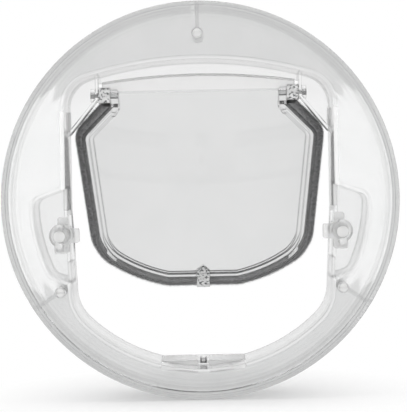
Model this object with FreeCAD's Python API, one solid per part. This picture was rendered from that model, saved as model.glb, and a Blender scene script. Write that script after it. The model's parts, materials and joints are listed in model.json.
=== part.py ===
"""Round clear cat flap for a glass pane, in millimetres.

+Z is up and +X is to the right for someone who looks at the room side, which faces -Y. The origin is the
centre of the ring, in the plane where the inside frame seats on the glass. The pane lies between Y = 0 and
Y = glazing. The flap is drawn closed, in the plane of its hinge axis, and then swung open.
"""
import FreeCAD, Part
import math
import os

V = FreeCAD.Vector

# Glass, and the round cut-out that everything between the flanges must pass
glass_hole = 212.0
glazing = 24.0
hole_r = glass_hole / 2
wall = 2.2

# Flanges: a thick rim, a bevel, and a shallow dish that rises towards the tunnel
flange_cover = 13.5
rim_r = hole_r + flange_cover
rim_height = 2.0
rim_round = 1.2
seat_width = 3.0
bevel = 4.5
bevel_height = 4.6
dish_angle = 7.5

# Pockets and catches
hole_room = 4.2
pocket_out = hole_r - wall - hole_room
catch_reach = 10.9
catch_offset = 4.9
catch_room = 3.8
tunnel_half = pocket_out - catch_room - catch_reach - catch_offset
catch_x = tunnel_half + catch_offset
catch_z = -0.1934 * hole_r
window_spare = 4.6
window_half = catch_reach + window_spare
pocket_high = 8.2
pocket_high_angle = 0.6
pocket_low_angle = -26.0
pocket_inset = 1.6
pocket_floor = glazing - pocket_inset
pocket_end_z = -0.449 * hole_r
pocket_round = 6.0
divider_front = 2.0
catch_hub = 7.2
catch_play = 0.6
lobe_thick = 2.6
tab_width = 9.0
upper_width = 6.6
lower_width = 8.4
lobe_round = 1.4
grip_hole = 2.4
grip_pitch = 4.2
knob_front = -5.0
knob_bar = 4.2
knob_plate = 2.5
knob_step = 1.6
knob_round = 1.2
hub_front = 1.5
pivot_dia = 4.0
pivot_head = 7.0
pivot_head_high = 1.6
pivot_play = 0.08
washer_dia = 10.5
washer_thick = 0.5
washer_play = 0.2

# Tunnel through the glass
tunnel_inset = 22.0
tunnel_top = hole_r - tunnel_inset
tunnel_arch = 2.264 * hole_r
tunnel_corner = 18.0
foot_inset = 5.5
tunnel_low = hole_r - foot_inset
tunnel_past_glass = 7.0
tunnel_back = glazing + tunnel_past_glass
side_bend_z = -5.0
side_lean = 2.7
side_low = (tunnel_half - side_lean, -0.5283 * hole_r)
low_corner = 25.0
sleeve_play = 0.4
collar_start = 2.0

# Hinge
rim_depth = 8.0
hinge_y = pocket_floor - washer_thick - washer_play - lobe_thick - catch_play - rim_depth / 2
hinge_drop = 19.6
hinge_z = tunnel_top - hinge_drop
cheek_inset = 19.0
cheek_x = tunnel_half - cheek_inset
pin_dia = 2.6
pin_length = 11.2
pin_reach = cheek_x - pin_length
pin_play = 0.06
clip_width = 7.0
clip_half = 4.7
clip_round = 1.8
hub_radius = 4.2
hub_length = 4.7
side_play = 0.3

# Walls that close the top corners and carry the hinge, and the lip above the flap
corner_front = 9.0
corner_back = 20.0
corner_wall = 1.8
cheek_drop = 2.6
cheek_foot_z = hinge_z - cheek_drop
slope_drop = 25.8
slope_end_z = hinge_z - slope_drop
veil = 1.8
veil_side = 0.5
veil_half = cheek_x + veil_side
veil_rise_mid = 12.1
veil_rise_end = 7.8
veil_edge_mid = hinge_z + veil_rise_mid
veil_edge_end = hinge_z + veil_rise_end

# Sill
sill_depth = 3.3
sill_z = sill_depth - tunnel_low
sill_front = 7.0
sill_wall = 1.2

# Flap, as it lies closed, with its outline drawn at the tips of the pile
open_angle = 38.0
panel = 2.5
pile_out = 5.0
pile_depth = 4.4
strip_out = 0.2
strip_drop = 6.4
strip_top = (cheek_x + strip_out, hinge_z - strip_drop)
shoulder_in = 1.4
shoulder_drop = 27.0
shoulder = (tunnel_half - shoulder_in, hinge_z - shoulder_drop)
flank_in = 5.8
flank_end = (tunnel_half - flank_in, -0.509 * hole_r)
heel_in = 11.7
heel = (tunnel_half - heel_in, -0.647 * hole_r)
foot_half = 0.3075 * tunnel_half
foot_play = 2.2
flap_foot = (foot_half, sill_z + foot_play)
shoulder_round = 18.0
flank_round = 35.0
heel_round = 35.0
foot_round = 5.0
top_rise_mid = 14.2
top_rise_end = 9.0
top_in = 2.6
top_half = cheek_x - top_in
notch_rise = 6.3
ear_width = 4.8
ear_radius = 4.6
ear_round = 1.4
arm_round = 4.0
rim_width = 4.2
step_width = 6.8
step_depth = 5.0
slot_neck = 4.6
slot_room = 6.4
slot_lip = 0.8
slot_floor = 1.8
ledge_out = 4.2
ledge = 1.3
ledge_top = 22.0
ledge_foot = -50.0
fit = 0.05

# Magnet holder and magnet in the lower edge
holder_half = 4.5
holder_depth = 6.6
holder_lift = 0.7
holder_over = 0.9
holder_height = pile_out + step_width + holder_over - holder_lift
holder_point = 4.4
holder_round = 0.5
nose_step = 0.6
magnet_half = 1.1
plate = 0.8
magnet_depth = 4.8
magnet_height = 4.6
magnet_cover = 0.4
leg_inset = 0.8
leg_height = holder_height - 2 * magnet_cover - leg_inset

# Keeper in the sill
keeper_half = 1.95
keeper_length = 6.0
keeper_sheet = 0.8
keeper_leg = 3.0
keeper_proud = 0.8
keeper_wall = 1.2

# Screw posts
post_radius = 3.3
post_room = 2.9
post_circle = hole_r - post_radius - post_room
post_turn_angle = 122.4
post_join = 11.6
post_gap = 0.5
screw_dia = 3.0
screw_clear = 3.4
screw_head = 5.2
screw_head_high = 1.8
screw_past_glass = 3.0
screw_end = glazing + screw_past_glass
screw_slot = 0.9
bore_spare = 1.5
rib = 1.2
rib_gap = 0.8

# How far a cutting solid runs past what it cuts, a size beyond the whole object, and a tolerance
over = 1.0
big = 4 * glass_hole
eps = 1e-4


def pt(p, y=0.0):
    return V(p[0], y, p[1])


def line(a, b):
    return Part.LineSegment(pt(a), pt(b)).toShape()


def arc(a, m, b):
    return Part.Arc(pt(a), pt(m), pt(b)).toShape()


def face_of(edges):
    return Part.Face(Part.Wire(Part.__sortEdges__(edges)))


def polygon(points):
    return Part.Face(Part.makePolygon([pt(p) for p in points + points[:1]]))


def prism(face, y0, y1):
    body = face.copy()
    body.translate(V(0, y0, 0))
    return body.extrude(V(0, y1 - y0, 0))


def box(x0, x1, y0, y1, z0, z1):
    return Part.makeBox(x1 - x0, y1 - y0, z1 - z0, V(x0, y0, z0))


def rod(radius, x, z, y0, y1):
    return Part.makeCylinder(radius, y1 - y0, V(x, y0, z), V(0, 1, 0))


def cross_rod(radius, y, z, x0, x1):
    return Part.makeCylinder(radius, x1 - x0, V(x0, y, z), V(1, 0, 0))


def mirrored(shape):
    return shape.mirror(V(0, 0, 0), V(1, 0, 0))


def both(shape):
    return shape.fuse(mirrored(shape))


def rounded(face, rounds):
    """The same flat outline with each named corner rounded to its own radius."""
    body = face.extrude(V(0, glazing, 0))
    for corner, radius in rounds:
        near = [e for e in body.Edges if e.BoundBox.YLength > glazing - eps
                and math.hypot(e.BoundBox.Center.x - corner[0], e.BoundBox.Center.z - corner[1]) < eps]
        body = body.makeFillet(radius, near)
    flat = [f for f in body.Faces if abs(f.BoundBox.YMax) < eps]
    return Part.Face(flat[0].OuterWire)


def grown(face, distance):
    """The outline moved outward, or inward where the distance is negative."""
    if abs(distance) < eps:
        return face
    return Part.Face(face.makeOffset2D(distance, 0).OuterWire)


def tidy(shape):
    """One clean solid without seams between faces that continue each other."""
    clean = shape.removeSplitter()
    solids = clean.Solids
    return solids[0] if len(solids) == 1 else Part.makeCompound(solids)


def tunnel_face():
    """Inner outline of the tunnel: arched top, rounded shoulders, sides that close in, round foot."""
    arch_z = tunnel_top - tunnel_arch
    corner_top = (tunnel_half, arch_z + math.sqrt(tunnel_arch ** 2 - tunnel_half ** 2))
    slope = (side_low[1] - side_bend_z) / (side_low[0] - tunnel_half)
    start = (tunnel_half, side_bend_z)
    a = 1 + slope ** 2
    b = 2 * slope * (start[1] - slope * start[0])
    c = (start[1] - slope * start[0]) ** 2 - tunnel_low ** 2
    meet_x = (-b - math.sqrt(b * b - 4 * a * c)) / (2 * a)
    meet = (meet_x, start[1] + slope * (meet_x - start[0]))
    left = [(-p[0], p[1]) for p in (corner_top, start, meet)]
    face = face_of([
        arc(left[0], (0, tunnel_top), corner_top),
        line(corner_top, start), line(start, meet),
        arc(meet, (0, -tunnel_low), left[2]),
        line(left[2], left[1]), line(left[1], left[0]),
    ])
    return rounded(face, [(corner_top, tunnel_corner), (left[0], tunnel_corner),
                          (meet, low_corner), (left[2], low_corner)])


def dish_height(radius):
    """How far the outer surface of a flange stands off the glass at that radius."""
    return bevel_height + (rim_r - bevel - radius) * math.tan(math.radians(dish_angle))


def turned(points, seat_y, side):
    """Solid of revolution from radii and heights above a seat."""
    corners = [V(r, seat_y + side * h, 0) for r, h in points]
    return Part.Face(Part.makePolygon(corners + corners[:1])).revolve(V(0, 0, 0), V(0, -side, 0), 360)


def dish(seat_y, side):
    """Everything between the glass and the outer surface of a flange."""
    body = turned([(0, 0), (rim_r, 0), (rim_r, rim_height), (rim_r - bevel, bevel_height),
                   (0, dish_height(0))], seat_y, side)
    heights = (seat_y + side * rim_height, seat_y + side * bevel_height)
    rings = [e for e in body.Edges if isinstance(e.Curve, Part.Circle)
             and min(abs(e.BoundBox.Center.y - y) for y in heights) < eps]
    return body.makeFillet(rim_round, rings)


def hollow(seat_y, side):
    """The room under a flange."""
    foot = rim_r - seat_width
    under = wall / math.cos(math.radians(dish_angle))
    points = [(0, 0), (foot, 0), (foot, dish_height(foot) - under), (0, dish_height(0) - under)]
    return turned(points, seat_y, side)


def outside(seat_y, side):
    """What lies beyond a flange's outer surface, to trim what is moulded onto its inner side."""
    reach = dish_height(0) + wall
    near, far = sorted((seat_y, seat_y + side * 2 * reach))
    return box(-big, big, near, far, -big, big).cut(dish(seat_y, side))


def post_places():
    """Where the screw posts stand, each with its angle round the ring."""
    places = {}
    for name, turn in (("top", 0.0), ("left", post_turn_angle), ("right", -post_turn_angle)):
        angle = math.radians(90.0 + turn)
        places[name] = (post_circle * math.cos(angle), post_circle * math.sin(angle), math.degrees(angle))
    return places


def ribs(seat_y, side):
    """A thin web from each screw post out to the rim."""
    room = hollow(seat_y, side)
    out = []
    for x, z, angle in post_places().values():
        near, far = sorted((seat_y + side * rib_gap, seat_y + side * dish_height(post_circle)))
        web = box(0, rim_r - post_circle, near, far, -rib / 2, rib / 2)
        web.rotate(V(0, 0, 0), V(0, 1, 0), -angle)
        web.translate(V(x, 0, z))
        out.append(web.common(room))
    return out


def corner_face():
    """Right top corner of the tunnel, cut off by the cheek and the slope that the flap passes."""
    high = tunnel_top + wall
    side = tunnel_half + wall
    return polygon([(cheek_x, high), (cheek_x, cheek_foot_z), (tunnel_half, slope_end_z),
                    (side, slope_end_z), (side, high)])


def veil_face():
    """Lip above the flap at the outer end of the tunnel."""
    low = arc((-veil_half, veil_edge_end), (0, veil_edge_mid), (veil_half, veil_edge_end))
    high = tunnel_top + wall
    return face_of([low, line((veil_half, veil_edge_end), (veil_half, high)),
                    line((veil_half, high), (-veil_half, high)),
                    line((-veil_half, high), (-veil_half, veil_edge_end))])


def pocket_face():
    """Right pocket, from the tunnel wall out to an outer wall that follows the round hole."""

    def on_wall(angle):
        return (pocket_out * math.cos(math.radians(angle)), pocket_out * math.sin(math.radians(angle)))

    high_out, low_out = on_wall(pocket_high_angle), on_wall(pocket_low_angle)
    face = face_of([
        line((tunnel_half, pocket_high), high_out),
        arc(high_out, on_wall((pocket_high_angle + pocket_low_angle) / 2), low_out),
        line(low_out, (side_low[0], pocket_end_z)),
        line((side_low[0], pocket_end_z), (tunnel_half, pocket_high)),
    ])
    return rounded(face, [(low_out, pocket_round), (high_out, pocket_round)])


def inside_frame():
    """Room side ring with the tunnel, the corner walls, the sill, the pockets and the near screw posts."""
    front = -dish_height(0)
    hole = tunnel_face()
    shell = grown(hole, wall)
    passage = prism(hole, front - over, tunnel_back + over)
    pocket = pocket_face()
    outer = grown(pocket, wall)
    body = dish(0, -1).cut(hollow(0, -1))
    body = body.fuse([prism(shell, front, tunnel_back)] + ribs(0, -1))
    body = body.fuse(both(prism(outer, front, pocket_floor + wall)))
    posts, bores = [], []
    for x, z, _ in post_places().values():
        head_y = -dish_height(post_circle)
        posts.append(rod(post_radius, x, z, front, post_join - post_gap))
        bores.append(rod(screw_clear / 2, x, z, front - over, post_join))
        bores.append(rod(screw_head / 2 + fit, x, z, front - over, head_y + screw_head_high))
    body = body.fuse(posts).cut(passage)

    corner = corner_face()
    cell = both(prism(grown(corner, -corner_wall), corner_front - over, corner_back - veil))
    corners = both(prism(corner, corner_front, corner_back)).cut(cell)
    hub = both(cross_rod(hub_radius, hinge_y, hinge_z, cheek_x, cheek_x + hub_length))
    lip = prism(veil_face(), tunnel_back - veil, tunnel_back)
    inside = prism(shell, front, tunnel_back)
    body = body.fuse([corners.common(inside), lip.common(inside), hub, sill_bar().common(inside)])

    rooms = prism(pocket, front - over, pocket_floor).cut(prism(shell, divider_front, tunnel_back))
    window = box(tunnel_half - wall * 2, tunnel_half + wall * 2, front - over, pocket_floor,
                 catch_z - window_half, catch_z + window_half)
    window = window.common(prism(outer, front - over, pocket_floor))
    body = body.cut([both(rooms), both(window), outside(0, -1)])
    body = body.cut(both(rod(pivot_dia / 2, catch_x, catch_z, pocket_floor - over, tunnel_back)))
    body = body.cut(both(cross_rod(pin_dia / 2, hinge_y, hinge_z, cheek_x - over, cheek_x + hub_length + over)))
    return tidy(body.cut(bores + [sill_keeper()]))


def sill_bar():
    """A raised sill over the foot of the tunnel, hollow behind and solid round the keeper."""
    low = -tunnel_low - wall / 2
    bar = box(-tunnel_half, tunnel_half, sill_front, tunnel_back, low, sill_z)
    room = box(-tunnel_half, tunnel_half, sill_front + sill_wall, tunnel_back + over, low, sill_z - sill_wall)
    half_x, half_y = keeper_half + keeper_wall, keeper_length / 2 + keeper_wall
    seat = box(-half_x, half_x, hinge_y - half_y, hinge_y + half_y, low, sill_z)
    return bar.cut(room).fuse(seat)


def sill_keeper():
    """A strip of sheet bent up at both sides, whose edges stand a little above the sill."""
    half = keeper_length / 2
    top = sill_z + keeper_proud
    block = box(-keeper_half, keeper_half, hinge_y - half, hinge_y + half, top - keeper_leg, top)
    inner = box(-keeper_half + keeper_sheet, keeper_half - keeper_sheet, hinge_y - half, hinge_y + half,
                top - keeper_leg + keeper_sheet, top)
    return block.cut(inner)


def outside_frame():
    """The outer ring, which slides over the end of the tunnel as far as the pane lets it."""
    back = glazing + dish_height(0)
    sleeve = grown(tunnel_face(), wall + sleeve_play)
    opening = prism(sleeve, glazing - over, back + over)
    ring = dish(glazing, 1).cut([hollow(glazing, 1), opening])
    collar = prism(grown(sleeve, wall), glazing + collar_start, back).cut(opening)
    posts, bores = [], []
    for x, z, _ in post_places().values():
        posts.append(rod(post_radius, x, z, post_join, back))
        bores.append(rod(screw_dia / 2, x, z, post_join - over, screw_end + bore_spare))
    inner = collar.fuse(posts).cut(outside(glazing, 1))
    return tidy(ring.fuse([inner] + ribs(glazing, 1)).cut(bores))


def low_circle():
    """Centre height and radius of the circle through the heel and the foot of the flap's edge."""
    (x0, z0), (x1, z1) = heel, flap_foot
    centre = (x0 ** 2 + z0 ** 2 - x1 ** 2 - z1 ** 2) / (2 * (z0 - z1))
    return centre, math.hypot(x0, z0 - centre)


def pile_face():
    """Outline of the flap at the tips of its pile, run on above the strips and cut off there."""
    centre, radius = low_circle()
    steep = (strip_top[1] - shoulder[1]) / (strip_top[0] - shoulder[0])
    top = hinge_z + 4 * ear_radius
    top_x = shoulder[0] + (top - shoulder[1]) / steep
    mid_angle = (math.atan2(heel[1] - centre, heel[0]) + math.atan2(flap_foot[1] - centre, flap_foot[0])) / 2
    mid = (radius * math.cos(mid_angle), centre + radius * math.sin(mid_angle))
    right = [line((top_x, top), shoulder), line(shoulder, flank_end), line(flank_end, heel),
             arc(heel, mid, flap_foot)]
    left = [line((-top_x, top), (-shoulder[0], shoulder[1])),
            line((-shoulder[0], shoulder[1]), (-flank_end[0], flank_end[1])),
            line((-flank_end[0], flank_end[1]), (-heel[0], heel[1])),
            arc((-heel[0], heel[1]), (-mid[0], mid[1]), (-flap_foot[0], flap_foot[1]))]
    face = face_of(right + left + [line((-top_x, top), (top_x, top)),
                                   line((-flap_foot[0], flap_foot[1]), flap_foot)])
    rounds = []
    for corner, radius in ((shoulder, shoulder_round), (flank_end, flank_round), (heel, heel_round),
                           (flap_foot, foot_round)):
        rounds += [(corner, radius), ((-corner[0], corner[1]), radius)]
    return rounded(face, rounds)


def head_face():
    """Top of the panel: the arched edge over the hinge, notched beside each ear for the clips."""
    low = strip_top[1] - pile_out
    ear_out = ear_outer()
    notch = hinge_z + notch_rise
    end = (top_half, hinge_z + top_rise_end)
    right = [line(end, (top_half, notch)), line((top_half, notch), (ear_out, notch)),
             line((ear_out, notch), (ear_out, low))]
    left = [line((-end[0], end[1]), (-top_half, notch)), line((-top_half, notch), (-ear_out, notch)),
            line((-ear_out, notch), (-ear_out, low))]
    return face_of(right + left + [arc((-end[0], end[1]), (0, hinge_z + top_rise_mid), end),
                                   line((-ear_out, low), (ear_out, low))])


def ear_outer():
    """Outer end of the ear that turns on the hinge pin."""
    return cheek_x - clip_width - side_play


def arm_bend(inner):
    """Where the rim's inner line turns upright under the ear, and a point further down that line."""
    across, along = strip_top[0] - shoulder[0], strip_top[1] - shoulder[1]
    length = math.hypot(across, along)
    width = pile_out + step_width
    start = (strip_top[0] - along / length * width, strip_top[1] + across / length * width)
    bend = (inner, start[1] + (inner - start[0]) * along / across)
    return bend, (bend[0] - across / length * arm_round, bend[1] - along / length * arm_round)


def band(outer, inner, depth, y0=None):
    """A band round the flap between two outlines, below the ends of the strips."""
    start = hinge_y - depth / 2 if y0 is None else y0
    ring = prism(outer.cut(inner), start, start + depth)
    return ring.cut(box(-big, big, -big, big, strip_top[1], big))


def flap_panel():
    """Clear panel with its grooved rim, the shelf behind the pile and the two hinge ears."""
    tips = pile_face()
    edge = grown(tips, -pile_out)
    plate = prism(edge, hinge_y - panel / 2, hinge_y + panel / 2)
    plate = plate.cut(box(-big, big, -big, big, strip_top[1], big))
    plate = plate.fuse(prism(head_face(), hinge_y - panel / 2, hinge_y + panel / 2))
    rim = band(edge, grown(edge, -rim_width), rim_depth)
    step = band(edge, grown(edge, -step_width), step_depth)
    shelf = band(grown(edge, ledge_out), edge, ledge, hinge_y + rim_depth / 2 - ledge)
    shelf = shelf.common(box(-big, big, -big, big, ledge_foot, ledge_top))
    outer = ear_outer()
    inner = outer - ear_width
    between_ears = box(-inner, inner, -big, big, shoulder[1], big)
    body = plate.fuse([rim.cut(between_ears), step.cut(between_ears), shelf])
    ear = cross_rod(ear_radius, hinge_y, hinge_z, inner, outer)
    ear = ear.makeFillet(ear_round, [e for e in ear.Edges if e.BoundBox.XMax < inner + eps])
    bend, after = arm_bend(inner)
    stem = polygon([(inner, hinge_z), bend, after, (outer, after[1]), (outer, hinge_z)])
    stem = prism(stem, hinge_y - rim_depth / 2, hinge_y + rim_depth / 2)
    above = (bend[0], bend[1] + arm_round)
    curve = Part.BezierCurve()
    curve.setPoles([pt(above), pt(bend), pt(after)])
    relief = prism(face_of([line(above, bend), line(bend, after), curve.toShape()]), -big, big)
    body = body.fuse(both(ear.fuse(stem))).cut(both(relief))
    groove = band(edge, grown(edge, -slot_lip), slot_neck)
    room = band(grown(edge, -slot_lip), grown(edge, -slot_floor), slot_room)
    body = body.cut([groove, room])
    bore = cross_rod(pin_dia / 2 + pin_play, hinge_y, hinge_z, pin_reach - side_play, outer + over)
    body = body.cut(both(bore))
    body = body.cut(box(-holder_half, holder_half, 0, big, -big, flap_foot[1] + holder_lift + holder_height))
    return opened(tidy(body))


def brush(side):
    """One strip: a flat backing held in the groove, and the pile that stands out of it."""
    tips = pile_face()
    edge = grown(tips, -pile_out)
    backing = band(grown(edge, -slot_lip - fit), grown(edge, -slot_floor + fit), slot_room - 2 * fit)
    neck = band(edge, grown(edge, -slot_lip - fit), slot_neck - 2 * fit)
    pile = band(tips, edge, pile_depth)
    strip = backing.fuse([neck, pile])
    half = box(holder_half + fit, big, 0, big, -big, strip_top[1] - fit)
    strip = strip.common(half if side > 0 else mirrored(half))
    return opened(tidy(strip))


def magnet_rooms():
    """The slots in the holder: one for the magnet, and one on each side of it for a plate."""
    low = flap_foot[1] + holder_lift + magnet_cover
    y0, y1 = hinge_y - magnet_depth / 2, hinge_y + magnet_depth / 2
    high = low + leg_height
    middle = box(-magnet_half, magnet_half, y0, y1, high - magnet_height, high)
    return middle, [box(x0, x0 + plate, y0, y1, low, high) for x0 in (-magnet_half - plate, magnet_half)]


def magnet_holder():
    """A clear clip round the panel's edge, with a pointed top, that holds the magnet."""
    low = flap_foot[1] + holder_lift
    top = low + holder_height
    middle, sides = magnet_rooms()
    body = box(-holder_half, holder_half, hinge_y - holder_depth / 2, hinge_y + holder_depth / 2, low, top)
    body = body.makeFillet(holder_round, [e for e in body.Edges if e.BoundBox.ZLength > holder_height - eps])
    nose = polygon([(-holder_half, top), (holder_half, top), (0, top + holder_point)])
    cheek = holder_depth / 2 - nose_step
    body = body.fuse([prism(nose, hinge_y - cheek, hinge_y - panel / 2),
                      prism(nose, hinge_y + panel / 2, hinge_y + cheek)])
    slot = box(-big, big, hinge_y - panel / 2, hinge_y + panel / 2, top, top + holder_point + over)
    return opened(tidy(body.cut([slot, middle] + sides)))


def flap_magnet():
    """The magnet block between the upper ends of its two pole plates."""
    return opened(magnet_rooms()[0])


def pole_plate(side):
    """A steel plate that leads the magnet's pull down to the keeper."""
    return opened(magnet_rooms()[1][1 if side > 0 else 0])


def opened(shape):
    """Swings a piece of the closed flap out to the angle at which it is shown."""
    shape.rotate(V(0, hinge_y, hinge_z), V(1, 0, 0), open_angle)
    return shape


def hinge_pin(side):
    """A short steel pin through the clip and the cheek, round which one ear turns."""
    start, end = pin_reach, cheek_x + hub_length
    if side < 0:
        start, end = -end, -start
    return cross_rod(pin_dia / 2, hinge_y, hinge_z, start, end)


def hinge_clip(side):
    """A clear block on the cheek, bored for the pin, with softened edges."""
    x0, x1 = cheek_x - clip_width, cheek_x
    block = box(x0, x1, hinge_y - clip_half, hinge_y + clip_half, hinge_z - clip_half, hinge_z + clip_half)
    block = block.makeFillet(clip_round, [e for e in block.Edges if e.BoundBox.XLength > clip_width - eps])
    block = block.cut(cross_rod(pin_dia / 2, hinge_y, hinge_z, x0 - 1, x1 + 1))
    return block if side > 0 else mirrored(block)


def catch_depths():
    """Front face of the tab that stops the flap from the room side, and of the one behind the flap."""
    front = hinge_y - pile_depth / 2 - catch_play - lobe_thick
    rear = hinge_y + rim_depth / 2 + catch_play
    return front, rear


def lobe(width, direction, y0):
    """A flat finger from the hub, with rounded corners, pointing along one of four directions."""
    reach = box(0, catch_reach, y0, y0 + lobe_thick, -width / 2, width / 2)
    tip = [e for e in reach.Edges if e.BoundBox.YLength > lobe_thick - eps
           and e.BoundBox.Center.x > catch_reach - eps]
    reach = reach.makeFillet(lobe_round, tip)
    reach.rotate(V(0, 0, 0), V(0, 1, 0), -direction)
    return reach


def catch(side):
    """A turning catch with four settings: one finger before the flap, one behind it, both, or neither."""
    front, rear = catch_depths()
    hub_end = rear + lobe_thick
    hub = rod(catch_hub, 0, 0, front - hub_front, hub_end)
    knob = rod(catch_hub - knob_step, 0, 0, knob_front + knob_plate, front)
    bar = box(-knob_bar / 2, knob_bar / 2, knob_front, front, -catch_hub, catch_hub)
    bar = bar.makeFillet(knob_round, [e for e in bar.Edges if e.BoundBox.YLength > front - knob_front - eps])
    body = hub.fuse([knob, bar, lobe(tab_width, 180, front), lobe(upper_width, 90, rear),
                     lobe(lower_width, 270, front), lobe(lower_width, 270, rear)])
    for x in (-grip_pitch / 2, grip_pitch / 2):
        body = body.cut(rod(grip_hole / 2, x, grip_hole - catch_reach, front - over, front + lobe_thick + over))
    body = body.cut([rod(pivot_dia / 2 + pivot_play, 0, 0, -big, big),
                     rod(pivot_head / 2 + pivot_play, 0, 0, -big, pivot_seat())])
    body = tidy(body)
    if side < 0:
        body = mirrored(body)
    body.translate(V(side * catch_x, 0, catch_z))
    return body


def pivot_seat():
    """Depth at which the pivot's head bears in the knob."""
    return knob_front + knob_plate + pivot_head_high


def catch_pivot(side):
    """A pin with a flat head, pressed into the floor of the pocket."""
    x = side * catch_x
    seat = pivot_seat() - pivot_play
    head = rod(pivot_head / 2, x, catch_z, seat - pivot_head_high, seat)
    return tidy(rod(pivot_dia / 2, x, catch_z, seat - pivot_head_high / 2, pocket_floor + wall).fuse(head))


def catch_washer(side):
    """A spring washer between the catch and the floor of the pocket."""
    x = side * catch_x
    ring = rod(washer_dia / 2, x, catch_z, pocket_floor - washer_thick, pocket_floor)
    return ring.cut(rod(pivot_dia / 2, x, catch_z, 0, pocket_floor + over))


def clamp_screw(name):
    """A slotted screw that draws the two frames together through a pair of posts."""
    x, z, _ = post_places()[name]
    head_y = screw_head_high - dish_height(post_circle)
    head = rod(screw_head / 2, x, z, head_y - screw_head_high, head_y)
    slot = box(x - screw_head, x + screw_head, head_y - screw_head_high - over, head_y - screw_head_high / 2,
               z - screw_slot / 2, z + screw_slot / 2)
    return tidy(head.cut(slot).fuse(rod(screw_dia / 2, x, z, head_y - screw_head_high / 2, screw_end)))


def main():
    os.makedirs("parts", exist_ok=True)
    pieces = {
        "inside_frame": inside_frame(),
        "outside_frame": outside_frame(),
        "flap_panel": flap_panel(),
        "magnet_holder": magnet_holder(),
        "flap_magnet": flap_magnet(),
        "sill_keeper": sill_keeper(),
    }
    for name, side in (("left", -1), ("right", 1)):
        pieces[name + "_brush"] = brush(side)
        pieces[name + "_pole_plate"] = pole_plate(side)
        pieces[name + "_hinge_pin"] = hinge_pin(side)
        pieces[name + "_hinge_clip"] = hinge_clip(side)
        pieces[name + "_catch"] = catch(side)
        pieces[name + "_catch_pivot"] = catch_pivot(side)
        pieces[name + "_catch_washer"] = catch_washer(side)
    for name in post_places():
        pieces[name + "_clamp_screw"] = clamp_screw(name)
    for name, shape in pieces.items():
        solids = len(shape.Solids)
        print(name, "solids", solids, "valid", shape.isValid(), "volume", round(shape.Volume, 1))
        shape.exportStep("parts/" + name + ".step")


main()
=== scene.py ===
"""Round clear cat flap: materials, pile strips, floor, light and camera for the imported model, in metres."""

import bisect
import json
import math
import random

import bpy
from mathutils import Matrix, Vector


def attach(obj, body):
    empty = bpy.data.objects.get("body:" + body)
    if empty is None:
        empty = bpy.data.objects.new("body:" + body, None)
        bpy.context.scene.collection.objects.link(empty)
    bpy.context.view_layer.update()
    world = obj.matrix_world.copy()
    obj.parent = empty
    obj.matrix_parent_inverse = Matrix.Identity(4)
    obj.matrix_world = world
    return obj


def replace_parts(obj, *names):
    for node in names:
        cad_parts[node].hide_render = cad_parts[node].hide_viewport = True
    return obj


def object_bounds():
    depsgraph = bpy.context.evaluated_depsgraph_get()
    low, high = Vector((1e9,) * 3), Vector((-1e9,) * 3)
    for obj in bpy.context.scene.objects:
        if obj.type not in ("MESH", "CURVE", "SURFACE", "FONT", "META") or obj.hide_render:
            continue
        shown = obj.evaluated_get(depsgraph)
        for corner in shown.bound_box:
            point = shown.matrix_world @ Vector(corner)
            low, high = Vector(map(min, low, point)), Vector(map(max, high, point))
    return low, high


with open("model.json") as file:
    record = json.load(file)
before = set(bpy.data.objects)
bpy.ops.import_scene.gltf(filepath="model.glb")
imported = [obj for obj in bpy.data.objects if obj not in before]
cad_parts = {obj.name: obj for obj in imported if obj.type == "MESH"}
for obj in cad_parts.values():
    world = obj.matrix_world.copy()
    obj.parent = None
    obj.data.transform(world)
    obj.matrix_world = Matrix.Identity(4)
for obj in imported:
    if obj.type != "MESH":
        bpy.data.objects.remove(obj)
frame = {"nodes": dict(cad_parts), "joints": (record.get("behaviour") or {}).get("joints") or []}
cad_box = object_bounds()
mm = 0.001

# Camera: the picture is 412 pixels high at 0.6 mm a pixel in the plane of the glass, seen from 800 mm away
view_distance = 0.8
view_height = 412
mm_per_pixel = 0.6
sensor = 24.0
camera_place = (0.007, -view_distance, 0.024)
camera_tilt, camera_roll = 90, 1.1
centre_offset = (-7.7, -46.3)
nearest, furthest = 0.01, 20

# Flap as it lies closed, in millimetres: its hinge, the corners of its outline at the tips of the pile with
# the radius of each, and the place beside the magnet where the strips end
swing = next(joint for joint in frame["joints"] if joint["name"] == "flap_swing")
hinge_y, hinge_z = swing["pos_m"][1] / mm, swing["pos_m"][2] / mm
open_angle = -math.radians(swing["range_deg"][0])
strip_top = (61.2, 58.0)
shoulder, shoulder_round = (78.6, 37.4), 18.0
flank_end, flank_round = (74.2, -53.95), 35.0
heel, heel_round = (68.3, -68.58), 35.0
foot, foot_round = (24.6, -95.0), 5.0
strip_end = 4.55
corner_steps = 12
lower_edge_steps = 40

# Section of a pile strip, in millimetres: how far out from the panel's edge each part begins or ends, and
# half its width. The backing lies in the groove, the neck comes out of it and the core fills the pile.
pile_out, pile_half = 5.0, 2.6
backing_in, backing_out, backing_half = -1.86, -0.74, 3.26
neck_out, neck_half = 0.02, 2.36
core_in, core_out, core_tip_half = 0.2, 3.3, 1.9
cut_margin = 0.1
strip_steps = 160

# Fibres of a strip, in millimetres: thickness, where they start, how far their tips lean along the strip and
# across it, and as shares the range of thickness and height and the place and lean of the bend
fibre_count = 20000
fibre_thick, thick_range = 0.12, (0.7, 1.2)
fibre_root, root_margin = 0.1, 0.1
height_range = (0.86, 1.0)
tip_lean, tip_spread = 0.22, 0.12
bend_height, bend_lean, bend_thick = 0.55, 0.4, 0.9

# Clear plastic: the painted shade on slopes and edges, the painted shade and width of creases, and what less
# polish does to it
plastic_ior = 1.46
edge_painted_shade = 0.92
crease_painted_shade, crease_width = 0.66, 0.0009
dull_haze, dull_tint = 0.45, (0.97, 0.97, 0.97)
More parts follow.
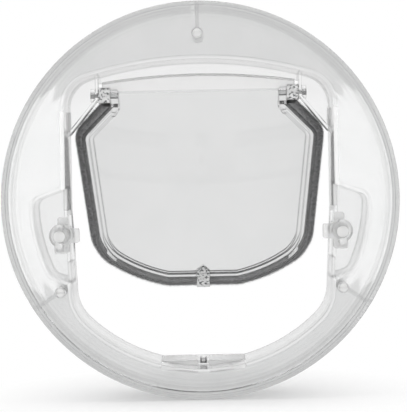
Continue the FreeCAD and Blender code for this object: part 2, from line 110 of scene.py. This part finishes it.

# Frames: how deep the flange's plastic ends and the tunnel's begins, the height where the arch over the hinge
# begins and the painted shade there, and the places left less polished as x, half width, lowest and highest z on
# both sides of the middle
flange_depth = (0.003, 0.006)
crown_height, crown_painted_shade = (0.058, 0.066), (0.94, 0.94, 0.94)
tunnel_side = (0.0806, 0.0016, -0.008, 0.054)
sill_side = (0.0143, 0.0104, -0.1003, -0.0968)

# Lines turned into the rim: shares of the way between two radii with the tint there. The seam is at the top.
rim_radii = (0.100, 0.120)
rim_lines = ((0.47, 1.0), (0.525, 0.97), (0.575, 1.0), (0.63, 0.94), (0.69, 1.0),
             (0.765, 0.90), (0.82, 0.99), (0.88, 0.88), (0.93, 0.98), (0.985, 0.84))
seam_x = -0.0026
seam_half = (0.0006, 0.0013)
seam_height = (0.0, 0.05)

# Floor and room: the floor ends in front of the object. The object's own shadow lies within shadow_reach, and
# the rest is white to the camera. What shows through the plastic is greyer, most of all to the sides.
floor_reach = 30.0
floor_front = -0.24
floor_greys = ((0.56, 0.56, 0.56), (0.57, 0.57, 0.57))
floor_lift = 0.34
shadow_reach = (0.15, 0.13)
shadow_fade = (0.3, 1.0)
white, seen_through, seen_aside = 1.0, 0.92, 0.66
floor_fade = (0.0, 0.12)
room_fade = (0.5, 0.9)
ambient_light = 0.80

# Softboxes: place, width and height, and power; all face the middle of the ring
softboxes = {
    "left_softbox": ((-0.51, -1.0, 0.0), (0.26, 0.58), 1.7),
    "right_softbox": ((0.51, -1.0, 0.0), (0.26, 0.58), 1.6),
    "top_softbox": ((0.0, 0.0, 1.4), (2.6, 0.45), 13),
}


class Graph:
    """The nodes of a material or of the world, with short calls for what is made of them."""

    def __init__(self, owner, output="ShaderNodeOutputMaterial"):
        owner.use_nodes = True
        self.owner = owner
        self.tree = owner.node_tree
        self.tree.nodes.clear()
        self.output = self.add(output)

    def feed(self, socket, value):
        """Give an input its value: another node's output, a colour of three numbers or a plain value."""
        if isinstance(value, bpy.types.NodeSocket):
            self.tree.links.new(value, socket)
        elif socket.type == "RGBA":
            socket.default_value = (*value, 1)
        else:
            socket.default_value = value

    def add(self, kind, **settings):
        """A new node. Each setting is one of its properties, or else an input with _ for a space."""
        node = self.tree.nodes.new(kind)
        for key, value in settings.items():
            if hasattr(node, key):
                setattr(node, key, value)
            else:
                self.feed(node.inputs[key.replace("_", " ")], value)
        return node

    def join(self, kind, *values, **settings):
        """The first output of a new node whose inputs take the values in their order."""
        node = self.add(kind, **settings)
        for socket, value in zip(node.inputs, values):
            self.feed(socket, value)
        return node.outputs[0]

    def compute(self, operation, *values):
        return self.join("ShaderNodeMath", *values, operation=operation)

    def place(self, scale=(1, 1, 1)):
        """Object coordinates, stretched."""
        coords = self.add("ShaderNodeTexCoord").outputs["Object"]
        return self.add("ShaderNodeMapping", Vector=coords, Scale=scale).outputs["Vector"]

    def along(self, vector, axis):
        return self.add("ShaderNodeSeparateXYZ", Vector=vector).outputs[axis]

    def length(self, vector):
        return self.add("ShaderNodeVectorMath", operation="LENGTH", Vector=vector).outputs["Value"]

    def noise(self, vector, scale, detail=3.0, roughness=0.5):
        node = self.add("ShaderNodeTexNoise", Vector=vector, Scale=scale, Detail=detail, Roughness=roughness)
        return node.outputs["Fac"]

    def bump(self, height, distance, strength=1.0, normal=None):
        node = self.add("ShaderNodeBump", Height=height, Distance=distance, Strength=strength)
        if normal:
            self.feed(node.inputs["Normal"], normal)
        return node.outputs["Normal"]

    def span(self, value, low, high, start=0.3, end=0.7):
        """A number from low to high as value goes from start to end."""
        node = self.add("ShaderNodeMapRange", Value=value, From_Min=start, From_Max=end,
                        To_Min=low, To_Max=high)
        return node.outputs["Result"]

    def stops(self, value, points):
        """Colours at given places of value, as (place, colour) pairs, that change evenly in between."""
        node = self.add("ShaderNodeValToRGB", Fac=value)
        elements = node.color_ramp.elements
        while len(elements) < len(points):
            elements.new(0.5)
        for element, (place, colour) in zip(elements, points):
            element.position = place
            element.color = (*colour, 1)
        return node.outputs["Color"]

    def greys(self, value, points):
        """Greys at given places of value, as (place, grey) pairs."""
        return self.stops(value, [(place, (grey, grey, grey)) for place, grey in points])

    def ramp(self, value, low, high, start=0.3, end=0.7):
        """Colours from low to high as value goes from start to end."""
        return self.stops(value, ((start, low), (end, high)))

    def mix(self, share, first, second, blend_type="MIX"):
        """Two colours mixed, or multiplied where blend_type is MULTIPLY."""
        node = self.add("ShaderNodeMix", data_type="RGBA", blend_type=blend_type)
        for number, value in ((0, share), (6, first), (7, second)):
            self.feed(node.inputs[number], value)
        return node.outputs[2]

    def surface(self, shader):
        self.feed(self.output.inputs["Surface"], shader)

    def principled(self, **settings):
        self.surface(self.add("ShaderNodeBsdfPrincipled", **settings).outputs["BSDF"])
        return self.owner


class ClearPlastic(Graph):
    """Moulded clear plastic with flow marks. Each method adds one trait, and finish makes the shader."""

    def __init__(self, name, tints, roughness, clarity):
        super().__init__(bpy.data.materials.new(name))
        self.where = self.place()
        self.tints = tints
        self.clarity = clarity
        flow = self.noise(self.where, scale=38.0, detail=2.0)
        fine = self.noise(self.where, scale=900.0, detail=4.0, roughness=0.6)
        self.tint = self.ramp(flow, *tints)
        self.roughness = self.span(fine, *roughness)
        self.normal = self.bump(flow, distance=0.0001, strength=0.25)

    def turn(self, height):
        """Faint rings round the middle, left by the turned mould."""
        rings = self.add("ShaderNodeTexWave", wave_type="RINGS", rings_direction="Y", Vector=self.where,
                         Scale=38.0, Distortion=1.2, Detail=2.0, Detail_Scale=0.8)
        self.normal = self.bump(rings.outputs["Fac"], height, 1.0, self.normal)

    def paint_highlights_and_shade(self):
        """Small bumps on small parts, with painted highlights and painted shade as bright and dark spots in the
        colour.
        """
        sparkle_spots = self.noise(self.where, scale=620.0, detail=2.0)
        # Painted highlights and painted shade: bright and dark spots in the colour
        self.tint = self.ramp(sparkle_spots, *self.tints, start=0.40, end=0.47)
        self.normal = self.bump(sparkle_spots, 0.0005, 1.0, self.normal)

    def change(self, axis, limits, clarity, tint):
        """Go over to another clarity and tint between two places on an axis; returns the share of it."""
        share = self.span(self.along(self.where, axis), 0.0, 1.0, *limits)
        self.clarity = self.span(share, self.clarity, clarity, 0.0, 1.0)
        self.tint = self.mix(share, self.tint, tint)
        return share

    def leave_dull(self, x, half_width, low, high):
        """Haze in a place on both sides of the middle that was left less polished."""
        half_height = (high - low) / 2
        from_middle = self.compute("ABSOLUTE", self.along(self.where, "X"))
        beside = self.compute("ABSOLUTE", self.compute("SUBTRACT", from_middle, x))
        height = self.compute("SUBTRACT", self.along(self.where, "Z"), (low + high) / 2)
        above = self.compute("ABSOLUTE", height)
        share = self.compute("MULTIPLY", self.span(beside, 1.0, 0.0, half_width, half_width + 0.0008),
                             self.span(above, 1.0, 0.0, half_height, half_height + 0.001))
        self.clarity = self.compute("SUBTRACT", self.clarity, self.compute("MULTIPLY", share, dull_haze))
        self.tint = self.mix(share, self.tint, dull_tint)

    def shade(self, greys):
        self.tint = self.mix(1.0, self.tint, greys, "MULTIPLY")

    def shade_edges(self, face):
        """Painted shade: darken slopes and rounded edges beside what looks the way of face, and creases on both
        sides.
        """
        facing = self.add("ShaderNodeVectorMath", operation="DOT_PRODUCT")
        self.feed(facing.inputs[0], self.add("ShaderNodeTexCoord").outputs["Normal"])
        self.feed(facing.inputs[1], face)
        slope = self.compute("ABSOLUTE", facing.outputs["Value"])
        # Painted shade on slopes and rounded edges, by how far the surface turns from face
        self.shade(self.greys(slope, ((0.30, 1.0), (0.50, edge_painted_shade), (0.95, edge_painted_shade), (0.985, 1.0))))
        # Painted shade in creases and at thin edges, found by ambient occlusion from outside and from inside
        for inside in (True, False):
            crease = self.add("ShaderNodeAmbientOcclusion", inside=inside, only_local=True, samples=4,
                              Distance=crease_width)
            self.shade(self.greys(crease.outputs["AO"], ((0.45, crease_painted_shade), (0.90, 1.0))))

    def draw_rim(self):
        """Lines turned into the rim, with a seam through them at the top."""
        radius = self.length(self.place((1, 0, 1)))
        lines = self.greys(self.span(radius, 0.0, 1.0, *rim_radii), rim_lines)
        beside = self.compute("ABSOLUTE", self.compute("SUBTRACT", self.along(self.where, "X"), seam_x))
        share = self.compute("MAXIMUM", self.span(beside, 0.0, 1.0, *seam_half),
                             self.span(self.along(self.where, "Z"), 1.0, 0.0, *seam_height))
        lined = self.mix(1.0, self.tint, lines, "MULTIPLY")
        self.tint = self.mix(share, self.tint, lined)

    def finish(self):
        return self.principled(Base_Color=self.tint, Roughness=self.roughness, IOR=plastic_ior,
                               Transmission_Weight=self.clarity, Normal=self.normal)


def frame_plastic():
    """The frames: a turned flange, a clearer tunnel with painted shade that makes it a little greyer in the arch
    over the hinge.
    """
    tints = ((0.80, 0.805, 0.805), (0.83, 0.832, 0.832))
    plastic = ClearPlastic("clear_plastic_frame", tints, (0.045, 0.06), 0.93)
    plastic.turn(0.00004)
    inner = plastic.change("Y", flange_depth, 0.985, (0.972, 0.974, 0.974))
    # Painted shade: the tunnel turns greyer in the arch over the hinge
    high = plastic.span(plastic.along(plastic.where, "Z"), 0.0, 1.0, *crown_height)
    plastic.tint = plastic.mix(plastic.compute("MULTIPLY", inner, high), plastic.tint, crown_painted_shade)
    for spot in (tunnel_side, sill_side):
        plastic.leave_dull(*spot)
    # Painted shade on slopes, rounded edges and creases
    plastic.shade_edges((0, 1, 0))
    plastic.draw_rim()
    return plastic.finish()


def panel_plastic():
    """The flap's panel, milky along its top edge at the hinge."""
    tints = ((0.83, 0.835, 0.835), (0.85, 0.852, 0.852))
    plastic = ClearPlastic("clear_plastic_flap", tints, (0.02, 0.06), 0.93)
    plastic.change("Z", (0.0655, 0.067), 0.5, (0.97, 0.97, 0.97))
    # Painted shade on slopes, rounded edges and creases
    plastic.shade_edges((0, -math.cos(open_angle), -math.sin(open_angle)))
    return plastic.finish()


def small_plastic():
    """The hinge clips and the magnet's clip, with painted highlights and painted shade as bright and dark spots.
    """
    # From nearly black to white: the ends of the painted shade and painted highlights
    tints = ((0.10, 0.105, 0.105), (0.99, 0.992, 0.992))
    plastic = ClearPlastic("clear_plastic_small", tints, (0.04, 0.1), 0.4)
    plastic.paint_highlights_and_shade()
    return plastic.finish()


def catch_plastic():
    """The catches: paler and a little milky."""
    tints = ((0.985, 0.985, 0.985), (0.995, 0.995, 0.995))
    return ClearPlastic("clear_plastic_catch", tints, (0.05, 0.12), 0.66).finish()


def pin_plastic():
    tints = ((0.90, 0.905, 0.905), (0.95, 0.952, 0.952))
    return ClearPlastic("clear_plastic_pin", tints, (0.04, 0.1), 0.93).finish()


def nylon():
    """Natural nylon: slightly milky, with a soft grain."""
    g = Graph(bpy.data.materials.new("natural_nylon"))
    grain = g.noise(g.place(), scale=1400.0, detail=4.0)
    return g.principled(Base_Color=g.ramp(grain, (0.96, 0.96, 0.955), (0.99, 0.99, 0.985)),
                        Roughness=g.span(grain, 0.12, 0.24), IOR=plastic_ior, Transmission_Weight=0.3,
                        Normal=g.bump(grain, 0.00003, 0.5))


def steel():
    """Zinc plated steel with brushed lines and dull spots."""
    g = Graph(bpy.data.materials.new("steel"))
    lines = g.noise(g.place((60, 1, 1)), scale=260.0, detail=5.0)
    spots = g.noise(g.place(), scale=420.0)
    return g.principled(Base_Color=g.ramp(spots, (0.30, 0.30, 0.31), (0.46, 0.46, 0.47)), Metallic=1.0,
                        Roughness=g.span(lines, 0.25, 0.5), Normal=g.bump(lines, 0.00003, 0.4))


def ferrite():
    """Pressed ferrite: dark, dull and slightly grainy."""
    g = Graph(bpy.data.materials.new("ferrite"))
    grain = g.noise(g.place(), scale=1600.0, detail=5.0)
    return g.principled(Base_Color=g.ramp(grain, (0.05, 0.05, 0.055), (0.12, 0.12, 0.125)),
                        Roughness=g.span(grain, 0.45, 0.7), Normal=g.bump(grain, 0.00005, 0.6))


def grey_pile():
    """Grey fibres: lighter and darker tufts, dull, with a little sheen."""
    g = Graph(bpy.data.materials.new("grey_pile"))
    tufts = g.noise(g.place(), scale=700.0, detail=4.0, roughness=0.7)
    fibres = g.noise(g.place(), scale=3200.0, detail=2.0)
    shade = g.compute("MULTIPLY", tufts, fibres)
    return g.principled(Base_Color=g.ramp(shade, (0.08, 0.08, 0.082), (0.48, 0.48, 0.485), 0.12, 0.45),
                        Roughness=g.span(fibres, 0.7, 0.95), Sheen_Weight=0.25, Sheen_Roughness=0.5,
                        Normal=g.bump(fibres, 0.0001, 0.7))


def dress_nodes():
    """Give each piece the look that the last word of its name calls for."""
    looks = {
        "frame": frame_plastic(), "panel": panel_plastic(), "catch": catch_plastic(), "pin": pin_plastic(),
        "clip": small_plastic(), "pivot": nylon(), "plate": steel(), "magnet": ferrite(),
        "brush": grey_pile(),
    }
    looks["holder"] = looks["clip"]
    looks["keeper"] = looks["plate"]
    looks["washer"] = looks["screw"] = looks["pivot"]
    for name, node in frame["nodes"].items():
        node.data.materials.clear()
        node.data.materials.append(looks[name.split("_")[-1]])
    return looks


def mesh_object(name, corners, faces):
    mesh = bpy.data.meshes.new(name)
    mesh.from_pydata(corners, [], faces)
    obj = bpy.data.objects.new(name, mesh)
    bpy.context.scene.collection.objects.link(obj)
    return obj


def corner_arc(before, corner, after, radius):
    """Points along the arc that rounds a corner of the outline."""
    p, a, b = Vector(corner), Vector(before) - Vector(corner), Vector(after) - Vector(corner)
    a.normalize()
    b.normalize()
    half = a.angle(b) / 2
    centre = p + (a + b).normalized() * radius / math.sin(half)
    start, end = p + a * radius / math.tan(half) - centre, p + b * radius / math.tan(half) - centre
    turn = start.angle_signed(end)
    points = []
    for i in range(corner_steps + 1):
        angle = -turn * i / corner_steps
        c, s = math.cos(angle), math.sin(angle)
        points.append(centre + Vector((start.x * c - start.y * s, start.x * s + start.y * c)))
    return points


def lower_edge():
    """Points of the flap's round lower edge from heel to foot; the circle's centre is on the middle line."""
    centre = (heel[0] ** 2 + heel[1] ** 2 - foot[0] ** 2 - foot[1] ** 2) / (2 * (heel[1] - foot[1]))
    radius = math.hypot(heel[0], heel[1] - centre)
    first = math.atan2(heel[1] - centre, heel[0])
    last = math.atan2(foot[1] - centre, foot[0])
    points = []
    for i in range(1, lower_edge_steps):
        angle = first + (last - first) * i / lower_edge_steps
        points.append(Vector((radius * math.cos(angle), centre + radius * math.sin(angle))))
    return points


def pile_outline():
    """The right half of the flap's outline at the tips of the pile, from above the strip to the magnet."""
    slope = (Vector(strip_top) - Vector(shoulder)).normalized()
    above = Vector(strip_top) + slope * 2 * pile_out
    edge = lower_edge()
    path = [above]
    path += corner_arc(above, shoulder, flank_end, shoulder_round)
    path += corner_arc(shoulder, flank_end, heel, flank_round)
    path += corner_arc(flank_end, heel, edge[0], heel_round)
    path += [p for p in edge if foot[0] + 2 < p.x < path[-1].x - 1]
    path += corner_arc(edge[-1], foot, (0, foot[1]), foot_round)
    path.append(Vector((strip_end, foot[1])))
    return path


class Track:
    """A place on the outline, and the way out from it, at any distance along it."""

    def __init__(self, path):
        self.path = path
        self.marks = [0.0]
        for a, b in zip(path, path[1:]):
            self.marks.append(self.marks[-1] + (b - a).length)
        self.length = self.marks[-1]

    def normal(self, i):
        a, b = self.path[max(i - 1, 0)], self.path[min(i + 1, len(self.path) - 1)]
        along = (b - a).normalized()
        return Vector((-along.y, along.x))

    def at(self, distance):
        i = min(max(bisect.bisect_right(self.marks, distance) - 1, 0), len(self.path) - 2)
        share = (distance - self.marks[i]) / (self.marks[i + 1] - self.marks[i])
        place = self.path[i].lerp(self.path[i + 1], share)
        return place, self.normal(i).lerp(self.normal(i + 1), share).normalized()


def opened(x, y, z):
    """A point of the closed flap in millimetres, swung to where the flap stands open, in metres."""
    c, s = math.cos(open_angle), math.sin(open_angle)
    y, z = y - hinge_y, z - hinge_z
    return (x * mm, (hinge_y + y * c - z * s) * mm, (hinge_z + y * s + z * c) * mm)


class Strip:
    """The mesh of one pile strip, on the right where side is 1 and on the left where it is -1."""

    def __init__(self, side, seed):
        self.side = side
        self.chance = random.Random(seed)
        self.track = Track(pile_outline())
        self.corners, self.faces = [], []

    def corner(self, distance, out, y):
        """The number of a new corner, from its place along the strip, out from the panel and across."""
        place, normal = self.track.at(distance)
        p = place + normal * (out - pile_out)
        self.corners.append(opened(self.side * p.x, hinge_y + y, min(p.y, strip_top[1] - cut_margin)))
        return len(self.corners) - 1

    def face(self, *numbers):
        self.faces.append(numbers[::self.side])

    def add_body(self):
        """Backing, neck and core, swept along the outline and closed at both ends."""
        half = [(backing_in, backing_half), (backing_out, backing_half), (backing_out, neck_half),
                (neck_out, neck_half), (core_in, pile_half), (core_out, core_tip_half)]
        section = [(out, -y) for out, y in half] + half[::-1]
        rings = []
        for i in range(strip_steps + 1):
            distance = self.track.length * i / strip_steps
            rings.append([self.corner(distance, out, y) for out, y in section])
        for a, b in zip(rings, rings[1:]):
            for i in range(len(section)):
                j = (i + 1) % len(section)
                self.face(a[i], b[i], b[j], a[j])
        self.face(*rings[0])
        self.face(*rings[-1][::-1])

    def add_fibre(self, number):
        """One fibre: three corners at its root, three at its bend and a pointed tip."""
        chance = self.chance
        distance = self.track.length * (number + chance.random()) / fibre_count
        y = chance.uniform(-1, 1) * (pile_half - root_margin)
        tall = pile_out * chance.uniform(*height_range)
        lean, spread = chance.gauss(0, tip_lean), chance.gauss(0, tip_spread)
        thick = fibre_thick * chance.uniform(*thick_range)
        first = chance.uniform(0, 2 * math.pi)
        root, bend = [], []
        for k in range(3):
            angle = first + k * 2 * math.pi / 3
            along, across = thick / 2 * math.cos(angle), thick / 2 * math.sin(angle)
            root.append(self.corner(distance + along, fibre_root, y + across))
            bend.append(self.corner(distance + bend_lean * lean + bend_thick * along, bend_height * tall,
                                    y + bend_lean * spread + bend_thick * across))
        end = min(max(y + spread, -pile_half), pile_half)
        tip = self.corner(min(max(distance + lean, 0), self.track.length), tall, end)
        for k in range(3):
            j = (k + 1) % 3
            self.face(root[k], root[j], bend[j], bend[k])
            self.face(bend[k], bend[j], tip)


def pile_strip(name, side, seed, look):
    """A pile strip as a piece: a woven backing, a dense core and fine fibres that stand out of it."""
    strip = Strip(side, seed)
    strip.add_body()
    for number in range(fibre_count):
        strip.add_fibre(number)
    piece = mesh_object(name, strip.corners, strip.faces)
    piece.data.materials.append(look)
    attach(piece, "flap")
    return piece


def light_path(g):
    """1 for what the camera sees directly, and 1 for what shows in gloss or through clear plastic."""
    path = g.add("ShaderNodeLightPath")
    other_ray = g.compute("MAXIMUM", path.outputs["Is Glossy Ray"], path.outputs["Is Transmission Ray"])
    return path.outputs["Is Camera Ray"], other_ray


def floor_material():
    """White floor. Near the object it takes light and shadow, and further off it is plain white."""
    g = Graph(bpy.data.materials.new("floor_white"))
    camera_ray, other_ray = light_path(g)
    grain = g.noise(g.place(), scale=12.0)
    lit = g.join("ShaderNodeBsdfDiffuse", g.ramp(grain, *floor_greys))
    lift = g.join("ShaderNodeEmission", (1, 1, 1), g.span(camera_ray, 0.0, floor_lift, 0.0, 1.0))
    near = g.join("ShaderNodeAddShader", lit, lift)
    away = g.compute("ABSOLUTE", g.along(g.place(), "Y"))
    shown = g.span(away, seen_aside, seen_through, *floor_fade)
    plain = g.join("ShaderNodeEmission", (1, 1, 1), g.span(other_ray, white, shown, 0.0, 1.0))
    distance = g.length(g.place((1 / shadow_reach[0], 1 / shadow_reach[1], 0)))
    far = g.span(distance, 0.0, 1.0, *shadow_fade)
    g.surface(g.join("ShaderNodeMixShader", g.compute("MAXIMUM", far, other_ray), near, plain))
    return g.owner


def lay_floor():
    """The pale floor that the ring stands on."""
    z = cad_box[0][2]
    corners = [(-floor_reach, floor_front, z), (floor_reach, floor_front, z),
               (floor_reach, floor_reach, z), (-floor_reach, floor_reach, z)]
    floor = mesh_object("floor", corners, [(0, 1, 2, 3)])
    floor.data.materials.append(floor_material())


def studio_world():
    """A pale room, white to the camera, that lights the object softly; through the plastic its sides are grey."""
    world = bpy.data.worlds.new("studio")
    bpy.context.scene.world = world
    g = Graph(world, "ShaderNodeOutputWorld")
    camera_ray, other_ray = light_path(g)
    ahead = g.compute("ABSOLUTE", g.along(g.add("ShaderNodeTexCoord").outputs["Generated"], "Y"))
    strengths = (ambient_light, g.span(ahead, seen_aside, seen_through, *room_fade), white)
    ambient, shown, plain = (g.join("ShaderNodeBackground", (1, 1, 1), strength) for strength in strengths)
    room = g.join("ShaderNodeMixShader", other_ray, ambient, shown)
    g.surface(g.join("ShaderNodeMixShader", camera_ray, room, plain))


def add_softbox(name, place, size, power):
    light = bpy.data.lights.new(name, "AREA")
    light.shape = "RECTANGLE"
    light.size, light.size_y = size
    light.energy = power
    lamp = bpy.data.objects.new(name, light)
    bpy.context.scene.collection.objects.link(lamp)
    lamp.location = place
    lamp.rotation_euler = (Vector() - Vector(place)).to_track_quat("-Z", "Y").to_euler()


def set_camera():
    """The camera looks squarely at the glass from just above the middle, and its shift frames it."""
    data = bpy.data.cameras.new("camera")
    data.sensor_fit = "VERTICAL"
    data.sensor_height = sensor
    data.lens = sensor * view_distance / (view_height * mm_per_pixel * mm)
    data.shift_x = centre_offset[0] / view_height
    data.shift_y = centre_offset[1] / view_height
    data.clip_start, data.clip_end = nearest, furthest
    camera = bpy.data.objects.new("camera", data)
    bpy.context.scene.collection.objects.link(camera)
    camera.location = camera_place
    camera.rotation_euler = (math.radians(camera_tilt), math.radians(camera_roll), 0)
    bpy.context.scene.camera = camera


looks = dress_nodes()
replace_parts(pile_strip("left_pile", -1, 11, looks["brush"]), "left_brush")
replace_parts(pile_strip("right_pile", 1, 12, looks["brush"]), "right_brush")
lay_floor()
studio_world()
for name, (place, size, power) in softboxes.items():
    add_softbox(name, place, size, power)
set_camera()
bpy.context.scene.view_settings.view_transform = "Standard"
